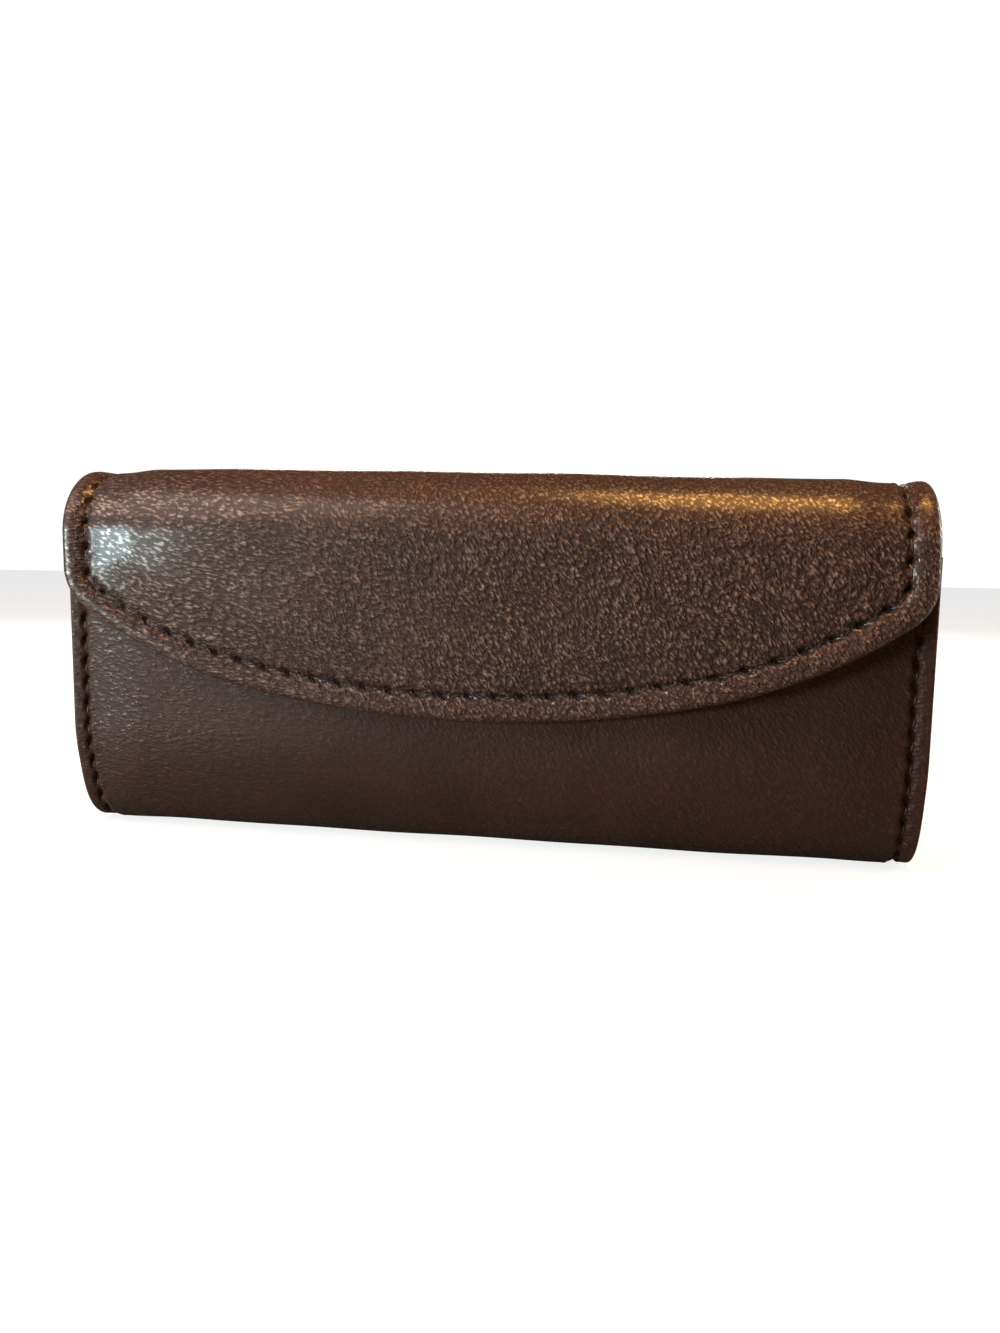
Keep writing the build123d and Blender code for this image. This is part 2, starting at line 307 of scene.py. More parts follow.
def turned_and_stretched(tree, place, turn, stretch):
    """Coordinates of a pattern that is turned, in degrees, and drawn out along its own axes."""
    turn = [math.radians(angle) for angle in turn]
    return add_node(tree, "ShaderNodeMapping",
                    {"Vector": place, "Rotation": turn, "Scale": stretch},
                    vector_type="TEXTURE").outputs[0]


# ---- Boards ------------------------------------------------------------------------------------
# Thin grey board stiffens the front, the base and the back between the leather and the lining, and
# felt carries on over the top. They are glued in, and only their edges could ever be seen.
board_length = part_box("front_board")[1].x * 2
board_depths = (0.00115, 0.00235)
mouth_setback, split_gap = 0.0004, 0.0001

front_stiffener = layer("front_stiffener", board_length, mouth_setback, under_split - split_gap,
                        board_depths)
back_stiffener = layer("back_stiffener", board_length, under_split + split_gap, back_roll,
                       board_depths)
top_felt = layer("top_felt", board_length, back_roll + 0.0003, top_split, board_depths, 0.0007)

board_finish, tree, shader = finish_of("grey_board")
fibres = add_node(tree, "ShaderNodeTexNoise",
                  {"Vector": turned_and_stretched(tree, own_place(tree), (0, 0, 0), (3, 1, 1)),
                   "Scale": 1400, "Detail": 4})
tree.links.new(blended(tree, fibres.outputs["Fac"], (0.24, 0.21, 0.17), (0.40, 0.36, 0.30)),
               shader.inputs["Base Color"])
shader.inputs["Roughness"].default_value = 0.92
raise_nap(tree, shader, fibres.outputs["Fac"], 0.00008)

felt_finish, tree, shader = finish_of("felt")
tangle = add_node(tree, "ShaderNodeTexNoise",
                  {"Vector": own_place(tree), "Scale": 1800, "Detail": 6, "Roughness": 0.7})
tree.links.new(blended(tree, tangle.outputs["Fac"], (0.05, 0.045, 0.04), (0.13, 0.12, 0.11)),
               shader.inputs["Base Color"])
shader.inputs["Roughness"].default_value = 0.95
raise_nap(tree, shader, tangle.outputs["Fac"], 0.0002)

for piece, finish, slot in ((front_stiffener, board_finish, "stiffener"),
                            (back_stiffener, board_finish, "stiffener"),
                            (top_felt, felt_finish, "padding")):
    piece.data.materials.append(finish)
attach(front_stiffener, "pouch")
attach(back_stiffener, "pouch")
bend_at_hinge(top_felt)
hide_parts("front_board", "base_board")
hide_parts("back_board")

# ---- Gussets -----------------------------------------------------------------------------------
# A panel of the same leather closes each end. Its border is turned outward and lies inside the ends
# of the walls, and its face is sunk between them, drawn in a little towards the middle.
gusset_low, gusset_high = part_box("right_gusset")
gusset_thickness = 0.0010
gusset_heights = (0.0595, 0.0650, 0.0670)
gusset_middle_y, gusset_pole_z = 0.0018, 0.0180
gusset_dish = 0.0016
gusset_turns = (0.0008, 0.0018)
end_lining_depths, end_lining_turns = (0.0026, 0.0032), (0.0008, 0.0003)
end_lining_steps = (0.0001, 0.0006)
crumple_height = 0.00025


def rows_of_gusset():
    """Distances along the hide from the front top round the base to the back top, and the points
    on the middle line that each of them reaches towards."""
    runs = np.linspace(0, marks[7], 4000)
    place = follow(runs)[0]
    front, back = runs < under_split, runs > under_split
    falls = np.linspace(0, 1, 34)
    front_z = gusset_heights[0] + (gusset_pole_z - gusset_heights[0]) * falls
    back_z = gusset_heights[2] + (gusset_pole_z - gusset_heights[2]) * falls
    middle_z = gusset_heights[1] + (gusset_pole_z - gusset_heights[1]) * falls
    front_runs = np.interp(-front_z, -place[front, 1], runs[front])
    back_runs = np.interp(back_z, place[back, 1], runs[back])
    under = np.linspace(front_runs[-1], back_runs[-1], 44)[1:-1]
    distance = np.concatenate([front_runs, under, back_runs[::-1]])
    middle = np.concatenate([middle_z, np.full(under.shape, gusset_pole_z), middle_z[::-1]])
    return distance, middle


def gusset_surface(side, depth, face_x, fillet, rim):
    """One surface of a gusset: the border if it has one, the turn, and the sunk face."""
    distance, middle = rows_of_gusset()
    rim_x = np.linspace(gusset_high.x, face_x + fillet, 7)[:-1] if rim else np.zeros(0)
    turn = np.linspace(0, math.pi / 2, 7)
    border_x = np.concatenate([rim_x, face_x + fillet * (1 - np.sin(turn))])
    border_depth = np.concatenate([np.zeros(rim_x.shape), fillet * (1 - np.cos(turn))])
    x, run = np.meshgrid(border_x, distance)
    border = on_hide(x, run, depth + border_depth[None] - fullness(x, run))
    reach = np.linspace(0, 1, 20)[1:]
    start = border[:, -1:, :]
    target = np.stack([np.full(middle.shape, face_x),
                       np.full(middle.shape, gusset_middle_y), middle], -1)[:, None, :]
    face = start + (target - start) * reach[None, :, None]
    height = smooth(0.0, 0.05, face[..., 2])
    crumple = crumple_height * np.sin(face[..., 2] * 260 + face[..., 1] * 90)
    dish = gusset_dish * smooth(0, 1, reach)[None]
    face[..., 0] -= (dish + crumple * smooth(0, 0.5, reach)) * height
    surface = np.concatenate([border, face], 1)
    surface[..., 0] *= side
    return surface


face_x = gusset_low.x
gussets, gusset_linings = [], []
for side, name in ((-1, "left"), (1, "right")):
    outer = gusset_surface(side, board_depths[0] + gusset_thickness, face_x + gusset_thickness,
                           gusset_turns[0], True)
    inner = gusset_surface(side, board_depths[0], face_x, gusset_turns[1], True)
    gussets.append(closed_sheet(f"{name}_end_gusset", outer, inner, welded=True))
    outer, inner = (gusset_surface(side, depth, face_x - step, turn, False) for depth, step, turn
                    in zip(end_lining_depths, end_lining_steps, end_lining_turns))
    gusset_linings.append(closed_sheet(f"{name}_end_lining", outer, inner, welded=True))

# ---- Hide finish -------------------------------------------------------------------------------
# Full grain calf, dyed dark brown through and waxed: fine drawn-out pebbles that run down to the right, a
# soft shine where hands have polished the flap, pebble tops on the flap painted lighter for wear and for
# painted glints, and painted shade in every hollow and hole.
hide_grain = bpy.data.node_groups.new("hide_grain", "ShaderNodeTree")
for socket, kind in (("Place", "NodeSocketVector"), ("Pebble Size", "NodeSocketFloat")):
    hide_grain.interface.new_socket(socket, in_out="INPUT", socket_type=kind)
for socket in ("Height", "Raised", "Mottle"):
    hide_grain.interface.new_socket(socket, in_out="OUTPUT", socket_type="NodeSocketFloat")
tree = hide_grain
given = add_node(tree, "NodeGroupInput")
sized = add_node(tree, "ShaderNodeVectorMath", {0: given.outputs["Place"]}, operation="SCALE")
tree.links.new(reckon(tree, "DIVIDE", 1, given.outputs["Pebble Size"]), sized.inputs["Scale"])
place = sized.outputs[0]
pull = add_node(tree, "ShaderNodeTexNoise", {"Vector": place, "Scale": 0.05, "Detail": 1})
swerve = add_node(tree, "ShaderNodeVectorMath",
                  {0: pull.outputs["Color"], 1: (5, 5, 5)}, operation="MULTIPLY")
swerved = add_node(tree, "ShaderNodeVectorMath", {0: place, 1: swerve.outputs[0]}, operation="ADD")


def drawn_grain(angle, stretch):
    """Height of pebbles and creases that are drawn out down to the right at an angle."""
    drawn = turned_and_stretched(tree, swerved.outputs[0], (0, angle, 0), (stretch, 1, 1))
    pebbles = add_node(tree, "ShaderNodeTexVoronoi",
                       {"Vector": drawn, "Scale": 1.0, "Smoothness": 0.25}, feature="SMOOTH_F1")
    creases = add_node(tree, "ShaderNodeTexNoise",
                       {"Vector": drawn, "Scale": 0.8, "Detail": 2, "Roughness": 0.55, "Distortion": 0.3})
    ridge = reckon(tree, "ABSOLUTE", reckon(tree, "SUBTRACT", creases.outputs["Fac"], 0.5))
    mound = reckon(tree, "MULTIPLY", reckon(tree, "SUBTRACT", 1, pebbles.outputs["Distance"]), 0.60)
    return reckon(tree, "ADD", mound, reckon(tree, "MULTIPLY", ridge, 1.7))


# The grain is drawn out nearly level towards the left end and steeply over the rest, crossed between.
flat_grain, steep_grain = (14, 2.6), (50, 2.1)
side_place = add_node(tree, "ShaderNodeSeparateXYZ", {0: given.outputs["Place"]}).outputs["X"]
patch = add_node(tree, "ShaderNodeTexNoise", {"Vector": place, "Scale": 0.035, "Detail": 2})
steep = reckon(tree, "ADD", reckon(tree, "MULTIPLY", side_place, 14),
               reckon(tree, "ADD", 0.55, reckon(tree, "MULTIPLY", patch.outputs["Fac"], 0.7)))
steep = add_node(tree, "ShaderNodeClamp", {"Value": steep}).outputs[0]
height = add_node(tree, "ShaderNodeMix",
                  {0: steep, 2: drawn_grain(*flat_grain), 3: drawn_grain(*steep_grain)},
                  data_type="FLOAT").outputs[0]
mottle = add_node(tree, "ShaderNodeTexNoise", {"Vector": place, "Scale": 0.03, "Detail": 4})
raised = add_node(tree, "ShaderNodeMapRange", {"Value": height, "From Min": 0.35, "From Max": 0.8},
                  interpolation_type="SMOOTHSTEP").outputs[0]
add_node(tree, "NodeGroupOutput", {"Height": height, "Raised": raised, "Mottle": mottle.outputs["Fac"]})

# The needle leaves slanted wedge holes, with the thread sunk in a shallow scallop between them and short
# creases fanning out of each. The holes and the thread's scallop are darkened with painted shade.
stitch_marks = bpy.data.node_groups.new("stitch_marks", "ShaderNodeTree")
for socket in ("Stitches", "Across"):
    stitch_marks.interface.new_socket(socket, in_out="INPUT", socket_type="NodeSocketFloat")
for socket in ("Dark", "Crease Height"):
    stitch_marks.interface.new_socket(socket, in_out="OUTPUT", socket_type="NodeSocketFloat")
tree = stitch_marks
given = add_node(tree, "NodeGroupInput")
count, across = given.outputs["Stitches"], reckon(tree, "MULTIPLY", given.outputs["Across"], 1000)
step_mm = 5.0
hole_long_mm, hole_wide_mm, line_mm, fan_mm = 0.95, 0.42, 0.17, 2.1
hole_lean = math.radians(-19)
from_hole = reckon(tree, "MULTIPLY", reckon(tree, "WRAP", count, 0.5, -0.5), step_mm)
from_middle = reckon(tree, "WRAP", reckon(tree, "ADD", count, 0.5), 0.5, -0.5)


def hill(tree, value, width):
    """A rounded hill of 1 where value is 0, falling away over width."""
    ratio = reckon(tree, "DIVIDE", value, width)
    return reckon(tree, "EXPONENT", reckon(tree, "MULTIPLY", reckon(tree, "MULTIPLY", ratio, ratio), -1))


slant_long = reckon(tree, "ADD", reckon(tree, "MULTIPLY", from_hole, math.cos(hole_lean)),
                    reckon(tree, "MULTIPLY", across, math.sin(hole_lean)))
slant_wide = reckon(tree, "SUBTRACT", reckon(tree, "MULTIPLY", across, math.cos(hole_lean)),
                    reckon(tree, "MULTIPLY", from_hole, math.sin(hole_lean)))
wedge = reckon(tree, "MULTIPLY", hill(tree, slant_long, hole_long_mm),
               hill(tree, slant_wide, hole_wide_mm))
bow = reckon(tree, "MULTIPLY", reckon(tree, "MULTIPLY", from_middle, from_middle), 1.3)
scallop = reckon(tree, "SUBTRACT", from_middle, reckon(tree, "SUBTRACT", 0.16, bow))
line = hill(tree, reckon(tree, "SUBTRACT", across, scallop), line_mm)
# Painted shade: how much the colour is darkened in the holes and along the thread's line.
dark = reckon(tree, "MAXIMUM", wedge, reckon(tree, "MULTIPLY", line, 0.62))
fan_turn = reckon(tree, "MULTIPLY", reckon(tree, "ABSOLUTE", across), 2.2)
fan = reckon(tree, "SINE", reckon(tree, "ADD", reckon(tree, "MULTIPLY", from_hole, 6.3), fan_turn))
fan = reckon(tree, "MULTIPLY", fan, hill(tree, across, fan_mm))
add_node(tree, "NodeGroupOutput", {"Dark": reckon(tree, "MINIMUM", dark, 1), "Crease Height": fan})


hide_shade = (0.040, 0.0135, 0.0092)
# Lighter tone of polished pebble tops: partly wear, partly a painted glint.
rubbed_glint_shade = (0.170, 0.102, 0.076)


def hide_finish(name, pebble, relief, gloss, sewn):
    """A waxed brown leather: pebble size, relief where plain and where polished, and roughness on
    the pebbles and between them. Sewn leather has stitch marks from its own tags."""
    material, tree, shader = finish_of(name)
    grain = add_node(tree, "ShaderNodeGroup", node_tree=hide_grain)
    grain.inputs["Pebble Size"].default_value = pebble
    tree.links.new(own_place(tree), grain.inputs["Place"])
    # The two darkest tones are painted shade for the stitch holes and the grain's hollows; worn is the
    # lighter tone of wear.
    hole_shade, hollow_shade, plain, worn = (tuple(part * level for part in hide_shade)
                                  for level in (0.12, 0.22, 1.0, 1.55))
    # Painted shade: the hollows between the pebbles are darkened in the colour itself.
    colour = blended(tree, grain.outputs["Raised"], hollow_shade, plain)
    colour = blended(tree, reckon(tree, "MULTIPLY", grain.outputs["Mottle"], 0.5), colour, worn)
    roughness = between(tree, grain.outputs["Raised"], gloss[1], gloss[0])
    if sewn:
        tags = {tag: add_node(tree, "ShaderNodeAttribute", attribute_name=tag).outputs["Fac"]
                for tag in ("stitches", "across", "rim", "polish")}
        marks_node = add_node(tree, "ShaderNodeGroup", node_tree=stitch_marks)
        tree.links.new(tags["stitches"], marks_node.inputs["Stitches"])
        tree.links.new(tags["across"], marks_node.inputs["Across"])
        # Pebble tops where the hide is polished are painted lighter, partly as wear and partly as a
        # painted glint.
        rubbed_and_glint = reckon(tree, "MULTIPLY", grain.outputs["Raised"], tags["polish"])
        colour = blended(tree, reckon(tree, "MULTIPLY", rubbed_and_glint, 0.70), colour, rubbed_glint_shade)
        colour = blended(tree, reckon(tree, "MULTIPLY", tags["rim"], 0.35), colour, worn)
        # Painted shade in the stitch holes and along the thread's crease.
        colour = blended(tree, marks_node.outputs["Dark"], colour, hole_shade)
        roughness = reckon(tree, "ADD", roughness,
                           reckon(tree, "MULTIPLY", marks_node.outputs["Dark"], 0.3))
        waxed = reckon(tree, "MULTIPLY", tags["polish"], between(tree, grain.outputs["Raised"], 0.2, 1.0))
        tree.links.new(waxed, shader.inputs["Coat Weight"])
        shader.inputs["Coat Roughness"].default_value = 0.27
        creases = add_node(tree, "ShaderNodeBump", {"Height": marks_node.outputs["Crease Height"],
                                                    "Strength": 0.5, "Distance": 0.00006})
        strength = between(tree, tags["polish"], relief[0], relief[1])
    tree.links.new(colour, shader.inputs["Base Color"])
    tree.links.new(roughness, shader.inputs["Roughness"])
    shader.inputs["Specular IOR Level"].default_value = 0.22
    shader.inputs["IOR"].default_value = 1.5
    bump = add_node(tree, "ShaderNodeBump", {"Distance": 0.00042})
    if sewn:
        height = reckon(tree, "MULTIPLY", grain.outputs["Height"], strength)
        tree.links.new(creases.outputs[0], bump.inputs["Normal"])
    else:
        height = reckon(tree, "MULTIPLY", grain.outputs["Height"], relief[0])
    tree.links.new(height, bump.inputs["Height"])
    tree.links.new(bump.outputs[0], shader.inputs["Normal"])
    return material


case_hide = hide_finish("brown_hide", 0.00060, (0.42, 2.0), (0.30, 0.60), True)
gusset_hide = hide_finish("gusset_hide", 0.00055, (0.5, 0.5), (0.42, 0.56), False)

for gusset, name in zip(gussets, ("left_gusset", "right_gusset")):
    gusset.data.materials.append(gusset_hide)
    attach(gusset, "pouch")
    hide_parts(name)

# ---- Linings -----------------------------------------------------------------------------------
# Dark microfibre lines the whole inside: one sheet down the front wall and under, one up the back
# and over the top, and a piece on each gusset. It is glued to the boards, nap side in.
lining_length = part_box("front_lining")[1].x * 2
lining_depths = (0.00245, 0.00305)

front_lining = layer("front_lining_cloth", lining_length, mouth_setback, under_split - split_gap,
                     lining_depths)
back_lining = layer("back_lining_cloth", lining_length, under_split + split_gap, top_split,
                    lining_depths, 0.0009, open_rows=(False, True))

lining_finish, tree, shader = finish_of("microfibre")
place = own_place(tree)
nap = add_node(tree, "ShaderNodeTexNoise",
               {"Vector": place, "Scale": 2600, "Detail": 5, "Roughness": 0.7})
strokes = add_node(tree, "ShaderNodeTexNoise",
                   {"Vector": turned_and_stretched(tree, place, (0, 65, 0), (2.5, 1, 1)),
                    "Scale": 70, "Detail": 3, "Distortion": 0.8})
cloth = blended(tree, nap.outputs["Fac"], (0.055, 0.034, 0.022), (0.125, 0.082, 0.055))
cloth = blended(tree, reckon(tree, "MULTIPLY", strokes.outputs["Fac"], 0.6), cloth, (0.15, 0.10, 0.07))
tree.links.new(cloth, shader.inputs["Base Color"])
shader.inputs["Roughness"].default_value = 0.95
shader.inputs["Specular IOR Level"].default_value = 0.2
shader.inputs["Sheen Weight"].default_value = 0.25
shader.inputs["Sheen Roughness"].default_value = 0.5
shader.inputs["Sheen Tint"].default_value = (0.6, 0.45, 0.35, 1)
raise_nap(tree, shader, nap.outputs["Fac"], 0.00015)

for piece in (front_lining, back_lining, *gusset_linings):
    piece.data.materials.append(lining_finish)
for piece in (front_lining, *gusset_linings):
    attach(piece, "pouch")
bend_at_hinge(back_lining)
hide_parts("front_lining")
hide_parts("base_lining", "back_lining")
for piece, gusset, name in zip(gusset_linings, gussets, ("left_gusset_lining", "right_gusset_lining")):
    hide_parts(name)

# ---- Mouth facing ------------------------------------------------------------------------------
# A strip of the same leather binds the top edge of the front wall: folded over it, glued, and
# topstitched through the wall a few millimetres below the edge.
facing_low, facing_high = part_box("mouth_facing")
facing_thickness = 0.0008


def facing_profile(shift):
    """Y and Z round the strip, from the outside edge over the top and down the inside."""
    rise = facing_high.z - mouth_z - facing_thickness / 2
    inner_y, outer_y = facing_high.y - facing_thickness / 2, wall_y + facing_thickness / 2
    middle_y, reach = (inner_y + outer_y) / 2, (inner_y - outer_y) / 2 + shift
    turn = np.linspace(math.pi, 0, 15)
    y = middle_y + reach * np.cos(turn)
    z = mouth_z + 0.0002 + (rise + shift) * np.sin(turn)
    down = np.linspace(z[-1], facing_low.z + facing_thickness / 2, 10)[1:]
    return np.concatenate([y, np.full(down.shape, y[-1])]), np.concatenate([z, down])


facing_columns = mirrored(plain_stops, facing_high.x * 2)
facing_grids = []
for shift in (facing_thickness / 2, -facing_thickness / 2):
    y, z = facing_profile(shift)
    x, y = np.meshgrid(facing_columns, y)
    z = np.broadcast_to(z[:, None], x.shape)
    y = y - fullness(x, np.zeros(x.shape)) * (y >= wall_y)
    facing_grids.append(np.stack([x, y, z], -1))
mouth_binding = closed_sheet("mouth_binding", *facing_grids)
mouth_binding.data.materials.append(gusset_hide)
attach(mouth_binding, "pouch")
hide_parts("mouth_facing")

# ---- Seams at the ends -------------------------------------------------------------------------
# Dark waxed thread sews the hide to the border of each gusset, a few millimetres in from the edge.
# Over the top the row moves in a little to meet the topstitching of the flap.
seam_inset = 0.0031
flap_stitch_inset = 0.0050
seam_start = 0.0022
seam_goal_pitch, flap_goal_pitch = 0.0044, 0.0052
seam_count = round((top_split - seam_start) / seam_goal_pitch)
seam_pitch = (top_split - seam_start) / seam_count


def seam_line(distance):
    """How far in from the end of the case the seam runs, at each distance along the hide."""
    share = smooth(back_roll - 0.006, back_roll + 0.012, distance)
    return seam_inset + (flap_stitch_inset - seam_inset) * share


hole_depth, hole_length, hole_width = 0.00105, 0.00098, 0.00050
crease_depth, crease_width = 0.00024, 0.00032
valley_depth, valley_widths = 0.00042, (0.00150, 0.00080)
pucker_height, pucker_from_hole, pucker_length = 0.00026, 0.0013, 0.00070
pucker_across, pucker_width = 0.00095, 0.00060


def stitch_relief(count, across, pitch):
    """Height of the leather round a row of stitches, from the count of stitches along it. Each hole
    is a slanted wedge, the thread pulls a scallop between holes, and the leather puckers beside."""
    from_hole = (count - np.round(count)) * pitch
    from_middle = (count + 0.5 - np.round(count + 0.5)) * pitch
    long = from_hole * math.cos(hole_lean) + across * math.sin(hole_lean)
    wide = across * math.cos(hole_lean) - from_hole * math.sin(hole_lean)
    hole = hole_depth * np.exp(-((long / hole_length) ** 2) - (wide / hole_width) ** 2)
    scallop = from_middle * 0.20 - 0.00016 + from_middle ** 2 * 50
    crease = crease_depth * np.exp(-(((across - scallop) / crease_width) ** 2))
    valley = valley_depth * np.exp(-((across / np.where(across < 0, *valley_widths)) ** 2))
    beside = (np.abs(across) - pucker_across) / pucker_width
    after = (from_hole - pucker_from_hole) / pucker_length
    pucker = pucker_height * np.exp(-(after ** 2) - beside ** 2)
    return pucker - hole - crease - valley


def edge_round(inset, radius):
    """How far the skin falls away towards a rounded edge."""
    t = np.clip(1 - inset / radius, 0, 1)
    return radius * (1 - np.sqrt(1 - t * t * 0.98))


# ---- Wall leather ------------------------------------------------------------------------------
# The hide where it forms the pouch: the front wall and half the base, then the rest of the base with the
# back wall and half the top, over the roll where the flap opens. Both are glued to boards.
leather_thickness = 0.0011
edge_radius = 0.0007
seam_bulge = 0.00018
wall_columns = mirrored(((0.0010, 0.0002), (0.0070, 0.00026), (0.0160, 0.0009)), half_length * 2)


def wall_grids(start, end, spacing):
    """Outer and inner points of a stretch of wall leather, and its tags for the finish."""
    distance = np.linspace(start, end, round((end - start) / spacing) + 1)
    x, distance = np.meshgrid(wall_columns, distance)
    inset = half_length - np.abs(x)
    across = inset - seam_line(distance)
    count = (distance - seam_start) / seam_pitch
    relief = stitch_relief(np.maximum(count, -0.45), across, seam_pitch)
    full = fullness(x, distance)
    bulge = seam_bulge * smooth(0.0004, 0.0016, across) * (1 - smooth(0.003, 0.012, across))
    skin = edge_round(inset, edge_radius) - full - relief - bulge
    back = leather_thickness - full - 0.5 * edge_round(inset, edge_radius)
    back = np.maximum(back, skin + 0.00025)
    tags = {"stitches": count, "across": across, "rim": 1 - smooth(0, 0.0014, inset),
            "polish": smooth(back_roll, top_split, distance)}
    return on_hide(x, distance, skin), on_hide(x, distance, back), tags


front_wall = closed_sheet("front_wall_leather", *wall_grids(0, under_split, 0.00042),
                          open_rows=(False, True))
back_wall = closed_sheet("back_wall_leather", *wall_grids(under_split, top_split, 0.00046),
                         open_rows=(True, True))
for piece in (front_wall, back_wall):
    piece.data.materials.append(case_hide)
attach(front_wall, "pouch")
bend_at_hinge(back_wall)
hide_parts("front_leather")
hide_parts("base_leather", "back_leather")

# ---- Flap leather ------------------------------------------------------------------------------
# The last stretch of the hide, over felt padding. Its edge is turned round a filler and held by one
# row of topstitching, so it forms a firm roll outside the stitches and a soft panel inside them.
flap_middle_angle = math.radians(13)
flap_shoulder_radius, flap_shoulder_angle = 0.092, math.radians(36)
flap_corner_radius = 0.010
flap_back_depth = 0.0022
flap_skin_depth, flap_edge_radius = 0.00075, 0.0013
edge_roll_height, panel_height, panel_step = 0.00055, 0.00085, 0.00020
right_edge_lean = 0.0031
arc_steps, corner_step = 60, 30


def flap_edge(inset):
    """Right half of the flap's edge laid flat, from its middle out and up to the top of the case:
    points as x and distance along the hide."""
    run = half_length - flap_corner_radius * (1 - math.sin(flap_shoulder_angle))
    run -= flap_shoulder_radius * (math.sin(flap_shoulder_angle) - math.sin(flap_middle_angle))
    arcs = [
        (run / math.sin(flap_middle_angle), 0, flap_middle_angle),
        (flap_shoulder_radius, flap_middle_angle, flap_shoulder_angle),
        (flap_corner_radius, flap_shoulder_angle, math.pi / 2),
    ]
    x, distance = 0.0, flap_end - inset
    points = [np.array([[x, distance]])]
    for radius, begun, ended in arcs:
        angle = np.linspace(begun, ended, arc_steps)[1:]
        radius = max(radius - inset, 0.0001)
        arc_x = x + radius * (np.sin(angle) - math.sin(begun))
        arc_run = distance - radius * (math.cos(begun) - np.cos(angle))
        points.append(np.stack([arc_x, arc_run], -1))
        x, distance = arc_x[-1], arc_run[-1]
    rise = np.linspace(distance, top_split, 2 * arc_steps)[1:]
    points.append(np.stack([np.full(rise.shape, x), rise], -1))
    return np.concatenate(points)


def measured(path):
    """Distance along a path at each of its points."""
    steps = np.linalg.norm(np.diff(path, axis=0), axis=1)
    return np.concatenate([[0], np.cumsum(steps)])


def along_path(path, distance):
    """Points at given distances along a path."""
    at = measured(path)
    return np.stack([np.interp(distance, at, path[:, k]) for k in range(path.shape[1])], -1)


half_stitch_path = flap_edge(flap_stitch_inset)
stitch_path = np.concatenate([half_stitch_path[::-1] * [-1, 1], half_stitch_path[1:]])
stitch_length = measured(stitch_path)[-1]
flap_stitch_count = round(stitch_length / flap_goal_pitch)
flap_pitch = stitch_length / flap_stitch_count


def beside_path(points, path):
    """For each point, its distance along the path and its signed distance inside the path."""
    at = measured(path)
    step = np.diff(path, axis=0)
    size = (step ** 2).sum(1)
    along, across = np.zeros(len(points)), np.zeros(len(points))
    batch = 4000
    for first in range(0, len(points), batch):
        here = points[first:first + batch, None, :] - path[None, :-1, :]
        t = np.clip((here * step).sum(-1) / size, 0, 1)
        off = here - t[..., None] * step
        gap = np.linalg.norm(off, axis=-1)
        best = gap.argmin(1)
        row = np.arange(len(best))
        turn = step[best, 0] * off[row, best, 1] - step[best, 1] * off[row, best, 0]
        along[first:first + batch] = at[best] + t[row, best] * np.sqrt(size[best])
        across[first:first + batch] = gap[row, best] * np.where(turn < 0, 1, -1)
    return along, across


def flap_grid(inset, row_share, column_share):
    """Grid over the flap laid flat, filled in from its four sides: top, left, right and edge."""
    half = flap_edge(inset)
    corner = 2 * arc_steps + corner_step
    lower = np.concatenate([half[corner::-1] * [-1, 1], half[1:corner + 1]])
    right = half[corner:][::-1]
    left = right * [-1, 1]
    u, v = column_share, row_share
    low = along_path(lower, u * measured(lower)[-1])
    high = np.stack([(half_length - inset) * (2 * u - 1), np.full(u.shape, top_split)], -1)
    near = along_path(left, v * measured(left)[-1])
    far = along_path(right, v * measured(right)[-1])
    u, v = u[None, :, None], v[:, None, None]
    flat = (1 - v) * high[None] + v * low[None] + (1 - u) * near[:, None] + u * far[:, None]
    flat -= (1 - u) * (1 - v) * high[0] + u * (1 - v) * high[-1]
    return flat - (1 - u) * v * low[0] - u * v * low[-1]


def flap_shares(stops, row_spacing, column_spacing):
    """Row and column shares of the flap grid, close together near the edge."""
    drop = flap_end - top_split
    span = 2 * measured(flap_edge(0))[2 * arc_steps + corner_step]
    rows = spread(*stops, (drop, row_spacing))
    columns = spread(*stops, (span / 2, column_spacing))
    return 1 - rows[::-1] / drop, np.concatenate([columns, span - columns[-2::-1]]) / span


def flap_lean(flat):
    """How far the flap stands off as it hangs: nothing at the roll, and most at its right edge."""
    stand_off = right_edge_lean * smooth(0.007, 0.072, flat[..., 0])
    return stand_off * smooth(marks[9] - 0.010, flap_end - 0.002, flat[..., 1])


def flap_skin(flat):
    """Depth of the flap's skin below its plain course, its inset from the edge, and its tags."""
    along, across = (value.reshape(flat.shape[:2])
                     for value in beside_path(flat.reshape(-1, 2), stitch_path))
    inset = across + flap_stitch_inset
    count = along / flap_pitch
    roll = edge_roll_height * np.sin(np.pi * np.clip(inset / flap_stitch_inset, 0, 1) ** 0.68)
    panel = panel_height * smooth(0.0002, 0.0110, across) + panel_step * smooth(0.0002, 0.0022, across)
    sway = fullness(flat[..., 0], flat[..., 1]) * smooth(0, 0.012, across)
    depth = flap_skin_depth + edge_round(inset, flap_edge_radius) - roll - panel
    depth -= stitch_relief(count, across, flap_pitch) + np.maximum(sway, -0.0004)
    depth -= flap_lean(flat)
    tags = {"stitches": count, "across": across, "rim": 1 - smooth(0.0004, 0.0030, inset),
            "polish": np.ones(flat.shape[:2])}
    return depth, inset, tags


def on_flap(flat, depth):
    """Points of the flap at a depth, from places on it laid flat."""
    return on_hide(flat[..., 0], flat[..., 1], depth)


